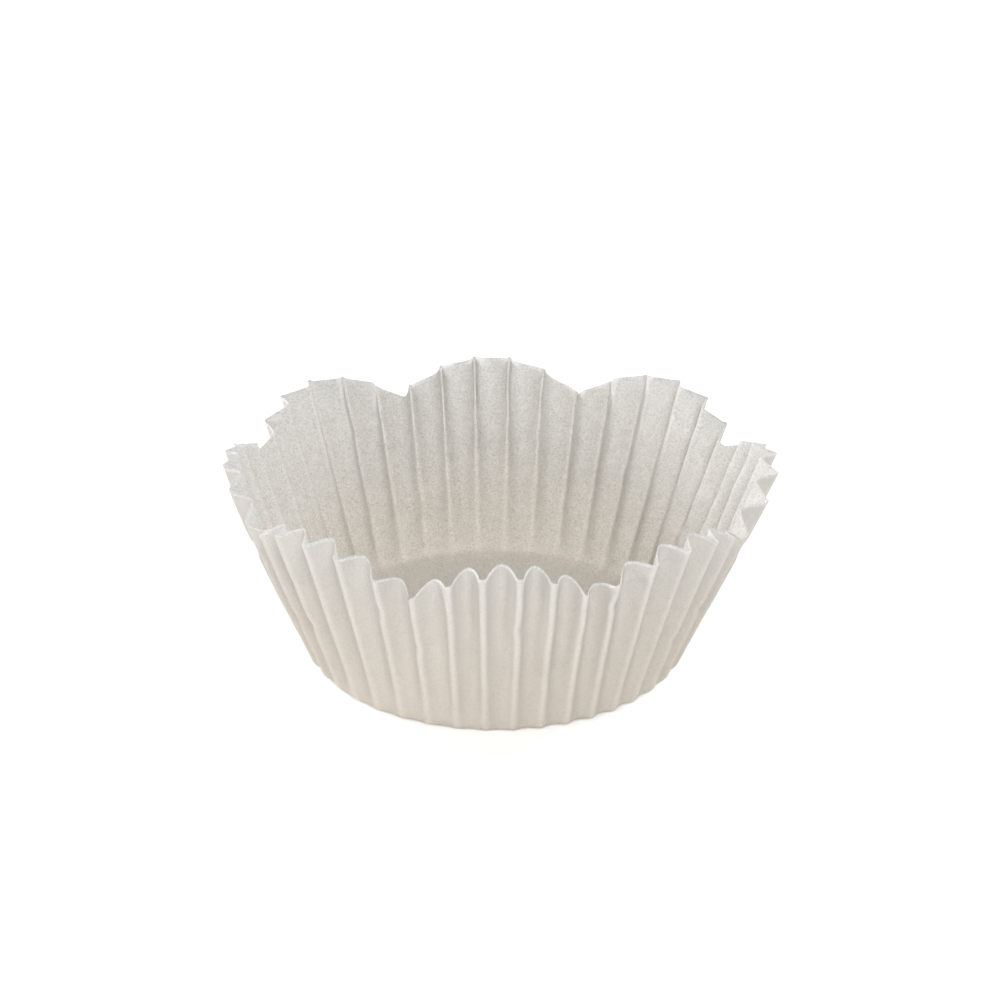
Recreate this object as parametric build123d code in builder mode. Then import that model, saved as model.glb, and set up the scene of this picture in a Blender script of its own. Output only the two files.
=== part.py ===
"""A petal-edged baking cup: one disc of white greaseproof paper, pressed into a fluted, flared cup.

The floor is flat and round. The wall is the rest of the same disc, gathered into narrow flutes:
each flute bows inward between two sharp ridges, and deepens towards the rim, where the sheet
has the most spare length. The disc's edge was cut in petals before pressing, and the pressed
cup has sprung a little oval.

Millimetres, +Z up. The origin is the centre of the floor's underside, X is the long way
across the rim, and one petal is centred near +Y.
"""

import os
from math import atan, cos, pi, radians, sin, sqrt

from build123d import *

# Paper
paper = 0.1  # thickness of the sheet

# Cup
base_diameter = 50.0  # across the ridges at the floor
rim_length = 72.4  # across the ridges along X, at the height of the petal tips
rim_width = 64.2  # across the ridges along Y, at the same height

# Flutes
flute_count = 44
floor_bow = 0.3  # how far a flute bows inward where the wall leaves the floor

# Petals
petal_count = 8
petal_height = 26.8  # floor to petal tip
notch_height = 21.9  # floor to the notch between two petals
petal_turn = 1.0  # degrees, of the petal near +Y about the axis

# Heights at which the wall's section is drawn; the last clears the petals and is trimmed off
section_heights = (0.0, 2.0, 8.0, petal_height + 2.0)

base_radius = base_diameter / 2
core_radius = 0.8 * base_radius
half_flute = pi / flute_count
half_petal = pi / petal_count


def ridge_radius(angle, height):
    """Distance of the ridges from the axis: a round floor opening into an oval rim."""
    rise = height / petal_height
    along_x = base_radius + (rim_length / 2 - base_radius) * rise
    along_y = base_radius + (rim_width / 2 - base_radius) * rise
    return (along_x + along_y) / 2 + (along_x - along_y) / 2 * cos(2 * angle)


def flute_width(angle, height):
    """Distance from one ridge to the next."""
    return 2 * ridge_radius(angle, height) * sin(half_flute)


def flute_bow(angle, height):
    """Depth of a flute that takes up the sheet's spare length at this height."""
    slant = sqrt(height**2 + (ridge_radius(angle, height) - base_radius) ** 2)
    sheet = 2 * half_flute * (base_radius + slant)
    # A parabola is about as long as the square root of its width squared plus 16/3 of its bow squared
    spare = sqrt(3 / 16 * max(sheet**2 - flute_width(angle, height) ** 2, 0))
    return max(spare, floor_bow)


def ridge_on_face(angle, height, depth):
    """Radius of a ridge on the face that lies depth inside the outer one."""
    steepest = atan(4 * flute_bow(angle, height) / flute_width(angle, height))
    return ridge_radius(angle, height) - depth / cos(steepest + half_flute)


def around(radius, angle):
    return radius * cos(angle), radius * sin(angle)


def draw_flute(start, height, depth):
    """One flute on that face: a parabola that bows inward between two ridges."""
    middle = start + half_flute
    end = start + 2 * half_flute
    start_ridge = ridge_on_face(start, height, depth)
    end_ridge = ridge_on_face(end, height, depth)
    chord = (start_ridge + end_ridge) / 2 * cos(half_flute)
    fold = ridge_radius(middle, height) * cos(half_flute) - flute_bow(middle, height) - depth
    Bezier(around(start_ridge, start), around(2 * fold - chord, middle), around(end_ridge, end))


def draw_petal(half_chord):
    """Upright outline of one petal and the wall under it: a round top on straight sides."""
    rise = petal_height - notch_height
    round_top = (half_chord**2 + rise**2) / (2 * rise)
    past_notch = half_chord * 1.04  # so that neighbours cross at the notch
    shoulder = petal_height - round_top + sqrt(round_top**2 - past_notch**2)
    below = -1.0
    Polyline((-past_notch, shoulder), (-past_notch, below), (past_notch, below), (past_notch, shoulder))
    ThreePointArc((past_notch, shoulder), (0, petal_height), (-past_notch, shoulder))


# What the rim's cut keeps: a round-topped block for each petal, and a core for the floor
with BuildPart() as petals:
    Cylinder(core_radius, notch_height)
    for number in range(petal_count):
        angle = pi / 2 + radians(petal_turn) + 2 * half_petal * number
        notch_radii = [ridge_radius(angle + side * half_petal, notch_height) for side in (-1, 1)]
        outward = Plane(
            origin=(*around(0.8 * core_radius, angle), 0),
            x_dir=(-sin(angle), cos(angle), 0),
            z_dir=(cos(angle), sin(angle), 0),
        )
        with BuildSketch(outward):
            with BuildLine():
                draw_petal(sum(notch_radii) / 2 * sin(half_petal))
            make_face()
        extrude(amount=rim_length)

with BuildPart() as liner:
    # Outer face of the paper, closed
    for height in section_heights:
        with BuildSketch(Plane.XY.offset(height)):
            with BuildLine():
                for number in range(flute_count):
                    draw_flute(2 * half_flute * number, height, 0)
            make_face()
    loft(ruled=True)
    # Inner face, which leaves the floor and the wall one sheet thick
    for height in (paper,) + section_heights[1:]:
        with BuildSketch(Plane.XY.offset(height)):
            with BuildLine():
                for number in range(flute_count):
                    draw_flute(2 * half_flute * number, height, paper)
            make_face()
    loft(ruled=True, mode=Mode.SUBTRACT)
    # Petals
    add(petals.part, mode=Mode.INTERSECT)

liner.part.label = "liner"
os.makedirs("parts", exist_ok=True)
export_step(liner.part, "parts/liner.step")
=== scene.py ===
"""One paper baking cup on a pale floor.

The cup is a flat disc of greaseproof paper with a petal edge. Every point of the sheet is placed
where the press puts it: the floor stays flat, and the rest is gathered into flutes whose length
across is always the sheet's own, so that they deepen towards the rim.

Lengths are in millimetres until the mesh is made, and +Z is up. Angles run anticlockwise from +X:
the cup's back is at 90 degrees, its left at 180 and its front at 270.
"""

from math import cos, pi, radians, sin

import bpy
import numpy as np
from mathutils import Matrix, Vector


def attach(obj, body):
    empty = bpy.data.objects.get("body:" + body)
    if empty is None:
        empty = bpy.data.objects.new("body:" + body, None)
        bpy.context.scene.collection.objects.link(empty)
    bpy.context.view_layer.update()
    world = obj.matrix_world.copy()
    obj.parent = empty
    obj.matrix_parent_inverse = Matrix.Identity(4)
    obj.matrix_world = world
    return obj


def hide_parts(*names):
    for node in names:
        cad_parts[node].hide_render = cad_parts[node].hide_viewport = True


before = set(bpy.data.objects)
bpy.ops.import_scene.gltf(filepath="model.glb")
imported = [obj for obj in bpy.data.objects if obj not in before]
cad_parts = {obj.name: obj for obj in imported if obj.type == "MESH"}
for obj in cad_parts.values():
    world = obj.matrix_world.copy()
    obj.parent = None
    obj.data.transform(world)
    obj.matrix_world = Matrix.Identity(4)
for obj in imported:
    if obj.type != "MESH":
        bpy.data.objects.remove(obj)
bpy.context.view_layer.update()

# ---------------------------------------------------------------------------
# Camera, in metres

LOOK_HEIGHT = 0.012
CAMERA_DISTANCE = 0.399
CAMERA_ELEVATION = radians(27.67)
CAMERA_ROLL = radians(0.56)

camera_data = bpy.data.cameras.new("camera")
camera_data.lens = 108.5
camera_data.sensor_width = 36.0
camera_data.shift_x = 0.0036
camera_data.shift_y = 0.058
camera = bpy.data.objects.new("camera", camera_data)
bpy.context.scene.collection.objects.link(camera)
camera.location = (
    0,
    -CAMERA_DISTANCE * cos(CAMERA_ELEVATION),
    LOOK_HEIGHT + CAMERA_DISTANCE * sin(CAMERA_ELEVATION),
)
camera.rotation_euler = (pi / 2 - CAMERA_ELEVATION, 0, 0)
camera.rotation_euler.rotate_axis("Z", CAMERA_ROLL)
bpy.context.scene.camera = camera

# ---------------------------------------------------------------------------
# The sheet

FLUTES = 44
PETALS = 8
BASE_RADIUS = 25.0
WALL_LEAN = radians(19.5)
NOTCH_LENGTH = 23.3  # floor's edge to a notch, along the wall
PETAL_LENGTH = 28.15  # floor's edge to a petal's tip
PATTERN_TURN = radians(1.5)  # of the whole fluted wall about the axis
PETAL_TURN = radians(1.0)  # of the petals from the flutes
PAPER = 0.1
CORNER = 2.4  # length of sheet that the turn from floor to wall takes
LONGEST = 34.0  # more wall than any petal has
PITCH = 2 * pi / FLUTES

BACK = pi / 2
LEFT = pi
FRONT = 1.5 * pi

OVAL_LENGTH = 30.0  # length of wall over which the round floor opens into the oval rim
LEAN_START = 8.0  # length of wall below which no petal leans
LEAN_LENGTH = 20.0  # length of wall from there to where a lean is given
LEANS = (  # angle and reach on each side of it in degrees, and distance
    (180, 40, 1.3),
    (222, 30, 0.35),
    (45, 28, 0.3),
    (2, 30, 0.5),
)
WANDER_LENGTH = 28.0  # length of wall over which a ridge's wander grows
WANDER_RADIUS = 30.0  # turns a ridge's shift along the rim into an angle
DENTS = 46
DENT_REACH = 1.1
TIP_REACH = 0.35  # from a ridge, of the tip where the cut edge is folded sharp
TIP_RADIUS = BASE_RADIUS + 25.0  # of the flat sheet, near the cut edge
RIM_START = 5.0  # length of wall at which a flute starts to take its rim's shape
RIM_BLEND = 20.0  # and the length that it takes

ACROSS = 20  # faces across a flute
UP = 40  # faces up the wall
PLEAT_REACH = 5.0  # how far the pleats run into the floor
PLEAT_LIFT = 0.45  # height of a pleat there, as a share of its depth
FLOOR_RINGS = (  # place along the sheet from the floor's edge, and wall points to one of the ring's
    (-0.5, 1),
    (-1, 1),
    (-1.5, 1),
    (-2, 1),
    (-2.6, 2),
    (-3.5, 2),
    (-5, 4),
    (-7, 8),
    (-11, 8),
    (-16, 16),
)
FLAT_MAP = 120.0  # side of the square of flat sheet that the texture's map covers

rng = np.random.default_rng(7)


def smooth(value):
    """0 below 0, 1 above 1, and an even turn between."""
    value = np.clip(value, 0, 1)
    return value * value * (3 - 2 * value)


def near(angle, middle, reach):
    """1 at one angle around the cup, falling to 0 at a reach on each side of it."""
    away = np.abs((angle - middle + pi) % (2 * pi) - pi)
    return smooth(1 - away / reach)


def petal_edge(angle):
    """Length of wall at this angle of the flat disc: eight round scallops."""
    notch = BASE_RADIUS + NOTCH_LENGTH
    tip = BASE_RADIUS + PETAL_LENGTH
    half = pi / PETALS
    chord = notch * sin(half)
    rise = tip - notch * cos(half)
    scallop = (chord**2 + rise**2) / (2 * rise)
    centre = tip - scallop
    turn = (angle - BACK - PETAL_TURN + half) % (2 * half) - half
    edge = centre * np.cos(turn) + np.sqrt(scallop**2 - (centre * np.sin(turn)) ** 2) - BASE_RADIUS
    # The disc lay a little behind and to the left of the press's middle, and was drawn in less
    # at its sides
    short_front = 0.8 * (1 - np.sin(angle))
    long_sides = 0.45 * np.cos(angle) ** 2
    short_right = 0.2 * np.cos(angle)
    return edge - short_front + long_sides - short_right


def upright_section():
    """Radius and height along the sheet, from inside the floor's edge up the wall, before fluting."""
    along = np.linspace(-CORNER, LONGEST, 800)
    slope = (pi / 2 - WALL_LEAN) * smooth((along + CORNER / 2) / CORNER)
    step = along[1] - along[0]
    radius = BASE_RADIUS - CORNER + np.cumsum(np.cos(slope)) * step
    height = np.cumsum(np.sin(slope)) * step
    return along, radius, height


ALONG, RADIUS, HEIGHT = upright_section()


def wall_point(angle, length, inward):
    """A point of the smooth wall that the flutes' ridges lie on, pushed inward by that much."""
    up = np.clip(length, 0, None) / OVAL_LENGTH
    oval = 2.75 * np.cos(2 * angle) + 0.41 * np.sin(2 * angle)
    off_centre = 0.65 * np.sin(angle) + 0.34 * np.cos(angle)
    radius = np.interp(length, ALONG, RADIUS) + up * (oval + off_centre) - inward * cos(WALL_LEAN)
    height = np.interp(length, ALONG, HEIGHT) + inward * sin(WALL_LEAN)
    return np.stack([radius * np.cos(angle), radius * np.sin(angle), height], -1)


def lean(angle, length):
    """How far the petals stand in from the even wall; most of it is near their tips."""
    up = np.clip((length - LEAN_START) / LEAN_LENGTH, 0, None) ** 2
    return up * sum(most * near(angle, radians(middle), radians(reach)) for middle, reach, most in LEANS)


class Ridges:
    """The sharp outer folds. Each runs up the wall a little unevenly, with a few small dents."""

    def __init__(self):
        self.flat = BACK + PITCH * (np.arange(FLUTES) - 0.5)
        # The flutes stand wider open behind than in front, and some in front are drawn to the left
        away = BACK - self.flat
        opened = radians(2.6) * np.sin(away) * (1 + np.cos(away)) / 2
        drawn_left = radians(1.9) * near(self.flat, radians(212), radians(52))
        drawn_left = drawn_left + radians(0.6) * near(self.flat, radians(318), radians(50))
        self.angle = self.flat - opened - drawn_left + PATTERN_TURN
        self.uneven = radians(0.32) * rng.standard_normal(FLUTES)
        self.phases = rng.uniform(0, 2 * pi, (FLUTES, 3))
        self.amounts = rng.normal(0, 0.042, (FLUTES, 3))
        self.tips = rng.uniform(0.0, 0.26, FLUTES)
        self.dents = [self.dent() for _ in range(DENTS)]

    @staticmethod
    def dent():
        """A dent's ridge, its place up the wall, its depth and its shift along the rim."""
        return rng.integers(FLUTES), rng.uniform(6, 22), rng.uniform(0.08, 0.36), rng.normal(0, 0.15)

    def line(self, number, length):
        """Points of one ridge at these lengths up the wall."""
        number = number % FLUTES
        aside = 0 * length
        for wave, (phase, amount) in enumerate(zip(self.phases[number], self.amounts[number])):
            aside = aside + amount * np.sin(length * (0.22 + 0.24 * wave) + phase)
        inward = 0 * length
        for ridge, place, depth, shift in self.dents:
            if ridge == number:
                bump = np.exp(-(((length - place) / DENT_REACH) ** 2))
                inward = inward + depth * bump
                aside = aside + shift * bump
        up = np.clip(length / WANDER_LENGTH, 0, 1)
        turned = self.uneven[number] * smooth(0.1 + up) + aside * up / WANDER_RADIUS
        angle = self.angle[number] + turned
        return wall_point(angle, length, inward + lean(angle, length))


class FluteShapes:
    """Cross-sections of a strip of paper whose two edges are drawn together.

    The strip's slope grows from nothing at its middle to a steepest angle at its edges, as the
    given power of the distance, and turns back over the last of it, where the fold is rounded.
    Each row of the tables is one steepest angle, and each column one place from middle to edge.
    """

    STEEPEST = radians(100)
    TURNED_BACK = 0.92

    def __init__(self, power, rounded):
        places = np.linspace(0, 1, 161)
        slope = places**power * (1 - self.TURNED_BACK * smooth((places - 1 + rounded) / rounded))
        steepest = np.linspace(0, self.STEEPEST, 101)
        angles = steepest[:, None] * slope[None, :]
        self.across = self.summed(np.cos(angles), places[1])
        self.depth = self.summed(np.sin(angles), places[1])
        self.width = self.across[:, -1]

    @staticmethod
    def summed(values, step):
        """Running sum of each row, from 0, by the trapezoid rule."""
        middles = (values[:, 1:] + values[:, :-1]) / 2 * step
        return np.concatenate([np.zeros((len(values), 1)), np.cumsum(middles, axis=1)], axis=1)

    @staticmethod
    def look_up(table, row, column):
        """Values at places between the table's rows and columns."""
        low_row = np.clip(row.astype(int), 0, table.shape[0] - 2)
        low_column = np.clip(column.astype(int), 0, table.shape[1] - 2)
        down, along = row - low_row, column - low_column
        upper = table[low_row, low_column] * (1 - along) + table[low_row, low_column + 1] * along
        lower = table[low_row + 1, low_column] * (1 - along) + table[low_row + 1, low_column + 1] * along
        return upper * (1 - down) + lower * down

    def strip(self, share, where):
        """Places across, from -1 to 1, and depths in half strips, of a strip drawn to that share."""
        row = np.interp(-share, -self.width, np.arange(len(self.width)))
        column = np.abs(where) * (self.across.shape[1] - 1)
        end = np.full_like(column, self.across.shape[1] - 1)
        across = self.look_up(self.across, row, column) / self.look_up(self.across, row, end)
        depth = self.look_up(self.depth, row, end) - self.look_up(self.depth, row, column)
        return np.stack([np.sign(where) * across, depth])


def folded_tips(first, second, where):
    """How far the cut edge stands up at a flute's two ridges, where it is folded sharp."""
    half_strip = TIP_RADIUS * PITCH / 2
    at_first = first * np.exp(-(((where + 1) * half_strip / TIP_REACH) ** 2))
    at_second = second * np.exp(-(((1 - where) * half_strip / TIP_REACH) ** 2))
    return at_first + at_second


def flute_section(middle, drawn, where, length):
    """Places across and depths of one flute: a plain bow at its foot, and its own shape at the rim."""
    power = 0.2 + 0.65 * near(middle, BACK, radians(40)) + 0.18 * near(middle, FRONT, radians(80))
    power = power * rng.uniform(0.82, 1.22)
    rounded = 0.12 + 0.22 * near(middle, LEFT, radians(38)) + 0.12 * near(middle, FRONT, radians(70))
    foot = FluteShapes(0.6, 0.3).strip(drawn, where)
    rim = FluteShapes(power, rounded).strip(drawn, where)
    across, depth = foot + (rim - foot) * smooth((length - RIM_START) / RIM_BLEND)
    pressed_flat = 0.3 * near(middle, LEFT, radians(38)) * smooth(length / RIM_BLEND)
    return across, depth * (1 - pressed_flat)


def flute_points(number, ridges, where, rows):
    """Points of one flute and their places on the flat disc."""
    flat_angle = ridges.flat[number] + PITCH * (where + 1) / 2
    tips = folded_tips(ridges.tips[number], ridges.tips[(number + 1) % FLUTES], where)
    length = rows[:, None] * (petal_edge(flat_angle) + tips)[None, :]
    start = ridges.line(number, length)
    end = ridges.line(number + 1, length)
    strip = (BASE_RADIUS + length) * PITCH
    flattest = 0.996 - 0.011 * smooth(length / 3)
    drawn = np.minimum(np.linalg.norm(end - start, axis=-1) / strip, flattest)
    middle = ridges.flat[number] + PITCH / 2
    across, depth = flute_section(middle, drawn, where + 0 * length, length)
    inward = np.array([-cos(middle) * cos(WALL_LEAN), -sin(middle) * cos(WALL_LEAN), sin(WALL_LEAN)])
    points = start + (end - start) * (across[..., None] + 1) / 2
    points = points + inward * (depth * strip / 2)[..., None]
    radius = BASE_RADIUS + length
    return points, np.stack([radius * np.cos(flat_angle), radius * np.sin(flat_angle)], -1)


def sheet_points():
    """Rows of points up the wall for every column of the sheet, and their places on the flat disc."""
    ridges = Ridges()
    where = np.sin(np.linspace(-pi / 2, pi / 2, ACROSS + 1))[:-1]
    rows = np.linspace(0, 1, UP + 1)
    flutes = [flute_points(number, ridges, where, rows) for number in range(FLUTES)]
    points = np.concatenate([flute[0] for flute in flutes], axis=1)
    flat = np.concatenate([flute[1] for flute in flutes], axis=1)
    return points, flat


def floor_rings(edge, edge_flat):
    """Rings of points from the wall's foot to near the floor's middle, ever fewer in a ring."""
    rings, rings_flat = [], []
    around = np.linalg.norm(edge[:, :2], axis=1)
    pleat = around.max() - around  # how far each point lies in a flute
    for length, share in FLOOR_RINGS:
        radius = BASE_RADIUS + length
        fading = smooth(1 + length / PLEAT_REACH)
        across = np.interp(length, ALONG, RADIUS) if length > -CORNER else radius
        height = np.interp(length, ALONG, HEIGHT) if length > -CORNER else 0
        ring = edge[::share] / around[::share, None] * (across - pleat[::share] * fading)[:, None]
        ring[:, 2] = height + pleat[::share] * PLEAT_LIFT * fading
        rings.append(ring)
        rings_flat.append(edge_flat[::share] * radius / BASE_RADIUS)
    return rings, rings_flat


def joined(outer, inner, first_outer, first_inner):
    """Faces between two rings, where the inner one has as many points or half."""
    count = len(inner)
    faces = []
    for at in range(count):
        a = first_inner + at
        b = first_inner + (at + 1) % count
        if len(outer) == count:
            faces.append((first_outer + at, a, b, first_outer + (at + 1) % count))
        else:
            c = first_outer + 2 * at
            d = c + 1
            e = first_outer + (2 * at + 2) % len(outer)
            faces += [(c, a, d), (d, a, b), (d, b, e)]
    return faces


def sheet_mesh():
    """The whole sheet, from the cut edge to the floor's middle, mapped by its flat disc."""
    points, flat = sheet_points()
    rings = [points[row] for row in range(UP, -1, -1)]
    rings_flat = [flat[row] for row in range(UP, -1, -1)]
    more, more_flat = floor_rings(points[0], flat[0])
    rings += more
    rings_flat += more_flat
    faces = []
    first = 0
    for outer, inner in zip(rings, rings[1:]):
        faces += joined(outer, inner, first, first + len(outer))
        first += len(outer)
    count = len(rings[-1])
    faces += [(first + at, first + count, first + (at + 1) % count) for at in range(count)]
    vertices = np.concatenate(rings + [np.zeros((1, 3))]) * 0.001
    places = np.concatenate(rings_flat + [np.zeros((1, 2))])
    mesh = bpy.data.meshes.new("cup")
    mesh.from_pydata([tuple(vertex) for vertex in vertices], [], faces)
    layer = mesh.uv_layers.new(name="flat sheet")
    corners = np.zeros(len(mesh.loops), dtype=np.int32)
    mesh.loops.foreach_get("vertex_index", corners)
    mapped = (places[corners] + FLAT_MAP / 2) / FLAT_MAP
    layer.uv.foreach_set("vector", mapped.astype(np.float32).ravel())
    mesh.shade_smooth()
    return mesh


cup = bpy.data.objects.new("cup", sheet_mesh())
bpy.context.scene.collection.objects.link(cup)
thickness = cup.modifiers.new("paper thickness", "SOLIDIFY")
thickness.thickness = PAPER * 0.001
thickness.offset = -1
thickness.use_rim = True

# ---------------------------------------------------------------------------
# Finishes


class Value:
    """A socket of a node tree. Arithmetic on it adds Math nodes."""

    def __init__(self, finish, socket):
        self.finish = finish
        self.socket = socket

    def maths(self, operation, *others):
        return self.finish.node("ShaderNodeMath", {"operation": operation}, self, *others)

    def __add__(self, other):
        return self.maths("ADD", other)

    __radd__ = __add__

    def __mul__(self, other):
        return self.maths("MULTIPLY", other)

    __rmul__ = __mul__

    def __sub__(self, other):
        return self.maths("SUBTRACT", other)

    def __rsub__(self, other):
        return self.finish.node("ShaderNodeMath", {"operation": "SUBTRACT"}, other, self)

    def size(self):
        return self.maths("ABSOLUTE")


class Finish:
    """The nodes of a material, or of the world around the cup."""

    def __init__(self, owner):
        self.owner = owner
        owner.use_nodes = True
        self.tree = owner.node_tree
        self.tree.nodes.clear()

    def node(self, kind, settings, *inputs, output=0, **named):
        """Adds a node, sets it up, fills its sockets in order or by name, and returns an output."""
        made = self.tree.nodes.new(kind)
        for name, value in settings.items():
            setattr(made, name, value)
        for name, value in [*enumerate(inputs), *named.items()]:
            socket = made.inputs[name if isinstance(name, int) else name.replace("_", " ")]
            if isinstance(value, Value):
                self.tree.links.new(value.socket, socket)
            elif value is not None:
                socket.default_value = value
        return None if output is None else Value(self, made.outputs[output])

    def mixed(self, share, first, second):
        """A colour between two. The node's sockets for numbers and vectors are passed over."""
        sockets = [share, *[None] * 5, first, second]
        return self.node("ShaderNodeMix", {"data_type": "RGBA"}, *sockets, output=2)

    def vectors(self, operation, first, second, output=0):
        """Vector Math. Output 1 is the number that a distance or a dot product gives."""
        return self.node("ShaderNodeVectorMath", {"operation": operation}, first, second, output=output)

    def share(self, value, none, full, turn="LINEAR"):
        """0 below one value, 1 above another, and between them in proportion."""
        return self.node("ShaderNodeMapRange", {"interpolation_type": turn}, value, none, full, 0.0, 1.0)

    def noise(self, place, scale, detail, distortion):
        return self.node(
            "ShaderNodeTexNoise", {}, Vector=place, Scale=scale, Detail=detail, Distortion=distortion
        )

    def seen(self):
        """1 for what is seen directly, in a reflection or through something clear, and 0 for light."""
        direct = self.node("ShaderNodeLightPath", {}, output="Is Camera Ray")
        reflected = self.node("ShaderNodeLightPath", {}, output="Is Glossy Ray")
        through = self.node("ShaderNodeLightPath", {}, output="Is Transmission Ray")
        return direct.maths("MAXIMUM", reflected).maths("MAXIMUM", through)

    def done(self, shader, kind="ShaderNodeOutputMaterial"):
        """Puts the shader on the surface and gives back the material or world."""
        self.node(kind, {}, shader, output=None)
        return self.owner


MAP_MIDDLE = (0.5, 0.5, 0)
ABOVE_MOUTH = (0, 0, 0.12)  # a point, in metres, that the whole inner face looks towards
FOLD_LENGTH = FLAT_MAP * PITCH  # makes a share of a flute, times a distance on the map, millimetres


def paper_fibres(finish, sheet):
    """Mottle of the pulp, mostly from 0 to 1: matted strands, fine grain and faint clouds."""
    clouds = finish.noise(sheet, 46.0, 3.0, 0.0)
    mat = finish.noise(sheet, 215.0, 1.0, 2.2)
    grain = finish.noise(sheet, 620.0, 1.0, 0.8)
    strand = 1 - 8 * (mat - 0.5).size()
    return 0.42 * strand + 0.6 * grain + 0.16 * clouds


def outer_face(finish):
    """1 on the cup's outside and underneath, and 0 on its inside."""
    where = finish.node("ShaderNodeNewGeometry", {}, output="Position")
    facing = finish.node("ShaderNodeNewGeometry", {}, output="Normal")
    from_above = finish.vectors("SUBTRACT", where, ABOVE_MOUTH)
    return finish.share(finish.vectors("DOT_PRODUCT", from_above, facing, output=1), -0.002, 0.002)


def painted_fold_light(finish, sheet, from_middle):
    """1 along each sharp outer fold of the wall, where light is painted on the paper."""
    place = finish.vectors("SUBTRACT", sheet, MAP_MIDDLE)
    across = finish.node("ShaderNodeSeparateXYZ", {}, place, output="X")
    along = finish.node("ShaderNodeSeparateXYZ", {}, place, output="Y")
    flutes_round = (along.maths("ARCTAN2", across) - pi / 2) * (1 / PITCH)
    from_fold = (flutes_round.maths("FRACT") - 0.5).size() * from_middle * FOLD_LENGTH
    on_wall = finish.share(from_middle, 0.185, 0.21)
    return (1 - finish.share(from_fold, 0.05, 0.85, "SMOOTHSTEP")) * on_wall


def greaseproof():
    """Greaseproof paper: an open, mottled face inside the cup and a smooth one outside, painted warmer
    for light let through the paper, with painted light and shade along the folds and up the wall.
    """
    finish = Finish(bpy.data.materials.new("greaseproof paper"))
    sheet = finish.node("ShaderNodeUVMap", {"uv_map": "flat sheet"})
    fibres = paper_fibres(finish, sheet)
    outside = outer_face(finish)
    from_middle = finish.vectors("DISTANCE", sheet, MAP_MIDDLE, output=1)
    towards_rim = finish.share(from_middle, 0.205, 0.43)
    fold_light_mask = painted_fold_light(finish, sheet, from_middle)

    open_tone = finish.share(fibres, 0.28, 0.86)
    open_face = finish.mixed(open_tone, (0.71, 0.705, 0.69, 1), (0.95, 0.95, 0.94, 1))
    # Painted light: the inside is lightened along the fold lines near the floor
    foot_fold_light = finish.mixed(fold_light_mask * (1 - towards_rim), (1, 1, 1, 1), (1.07, 1.07, 1.07, 1))
    open_face = finish.vectors("MULTIPLY", open_face, foot_fold_light)

    # Outside: a smooth face, painted warmer than the inside for light let through the paper
    smooth_tone = finish.share(fibres, 0.1, 0.95)
    smooth_through_lit_face = finish.mixed(smooth_tone, (0.72, 0.696, 0.66, 1), (0.825, 0.803, 0.768, 1))
    # Painted light and shade: the outside is lightened along the fold crests and darkened in the
    # channels between them
    fold_light_and_shade = finish.mixed(fold_light_mask, (0.96, 0.96, 0.96, 1), (1.09, 1.09, 1.09, 1))
    smooth_through_lit_face = finish.vectors("MULTIPLY", smooth_through_lit_face, fold_light_and_shade)

    # Painted light and shade: the paper is painted warmer and darker towards the floor, standing in for
    # light that it lets through, and a little lighter towards the rim
    painted_through_light = finish.mixed(towards_rim, (0.91, 0.86, 0.793, 1), (1.01, 1.005, 0.992, 1))
    colour = finish.vectors("MULTIPLY", finish.mixed(outside, open_face, smooth_through_lit_face), painted_through_light)
    roughness = 0.72 - 0.14 * outside
    relief = finish.node("ShaderNodeBump", {}, Height=fibres, Distance=0.00006, Strength=0.55)
    paper = finish.node(
        "ShaderNodeBsdfPrincipled", {}, Base_Color=colour, Roughness=roughness, Normal=relief
    )
    return finish.done(paper)


cup.data.materials.append(greaseproof())
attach(cup, "root")
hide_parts("liner")

# ---------------------------------------------------------------------------
# Floor and light, in metres

WHITE = (1, 1, 1, 1)
FLOOR_REACH = 0.9
FLOOR_DROP = 0.00002  # keeps the floor clear of the paper's underside


def pale_floor():
    """A pale, matt floor that takes the cup's shadow and is otherwise seen as white."""
    finish = Finish(bpy.data.materials.new("pale floor"))
    matt = finish.node("ShaderNodeBsdfDiffuse", {}, (0.92, 0.915, 0.905, 1))
    glow = finish.node("ShaderNodeEmission", {}, WHITE, 0.35)
    glowing = finish.node("ShaderNodeAddShader", {}, matt, glow)
    return finish.done(finish.node("ShaderNodeMixShader", {}, finish.seen(), matt, glowing))


def studio_air():
    """The world: a dim, even light that is white wherever it is seen."""
    air = Finish(bpy.data.worlds.new("studio"))
    dim = air.node("ShaderNodeBackground", {}, WHITE, 0.14)
    bright = air.node("ShaderNodeBackground", {}, WHITE, 1.0)
    both = air.node("ShaderNodeMixShader", {}, air.seen(), dim, bright)
    return air.done(both, "ShaderNodeOutputWorld")


def softbox(name, place, aim_height, size, power):
    """A round, white, even lamp that faces the cup's axis at that height."""
    data = bpy.data.lights.new(name, "AREA")
    data.shape = "DISK"
    data.size = size
    data.energy = power
    lamp = bpy.data.objects.new(name, data)
    bpy.context.scene.collection.objects.link(lamp)
    lamp.location = place
    backward = lamp.location - Vector((0, 0, aim_height))
    lamp.rotation_euler = backward.to_track_quat("Z", "Y").to_euler()


floor_mesh = bpy.data.meshes.new("floor")
floor_corners = [(x * FLOOR_REACH, y * FLOOR_REACH, 0) for x, y in ((-1, -1), (1, -1), (1, 1), (-1, 1))]
floor_mesh.from_pydata(floor_corners, [], [(0, 1, 2, 3)])
floor = bpy.data.objects.new("floor", floor_mesh)
bpy.context.scene.collection.objects.link(floor)
floor.location.z = -FLOOR_DROP
floor.data.materials.append(pale_floor())

bpy.context.scene.world = studio_air()
softbox("front softbox", (0.1, -0.82, 0.78), 0.02, 0.6, 6.0)
softbox("back left softbox", (-0.85, 0.55, 0.5), 0.02, 0.4, 7.8)
softbox("back right softbox", (0.85, 0.55, 0.55), 0.02, 0.4, 6.0)
softbox("low left fill", (-1.05, -0.6, 0.18), 0.01, 0.35, 2.4)
softbox("low front fill", (0.3, -1.2, 0.21), 0.01, 0.4, 1.2)

bpy.context.scene.view_settings.view_transform = "Standard"
